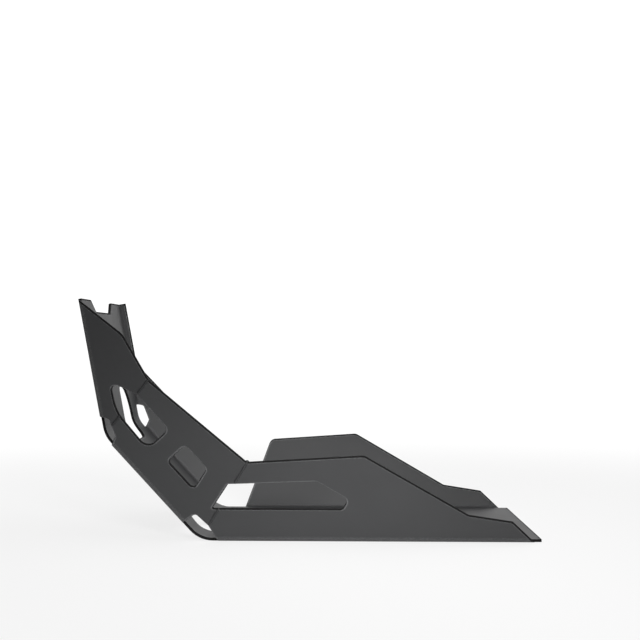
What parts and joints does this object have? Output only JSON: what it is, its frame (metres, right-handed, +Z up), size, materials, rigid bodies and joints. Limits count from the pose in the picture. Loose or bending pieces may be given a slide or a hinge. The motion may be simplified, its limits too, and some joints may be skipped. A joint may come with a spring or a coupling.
{
  "type": "motorcycle skid plate",
  "caption": "Folded sheet-metal engine guard with sloped front, flat base, slotted flared side wings and mounting holes.",
  "frame": {"origin": "underside of the bottom plate, at the centre of its four mounting holes", "axes": "+X to the rear along the bottom plate, +Y to the motorcycle's right-hand side, +Z up, square to the bottom plate"},
  "size_m": [0.4198, 0.2896, 0.2196],
  "materials": {
    "powder_coat": "matt black powder coat on aluminium sheet"
  },
  "bodies": {
    "root": {"skid_plate": "powder_coat"}
  },
  "joints": []
}
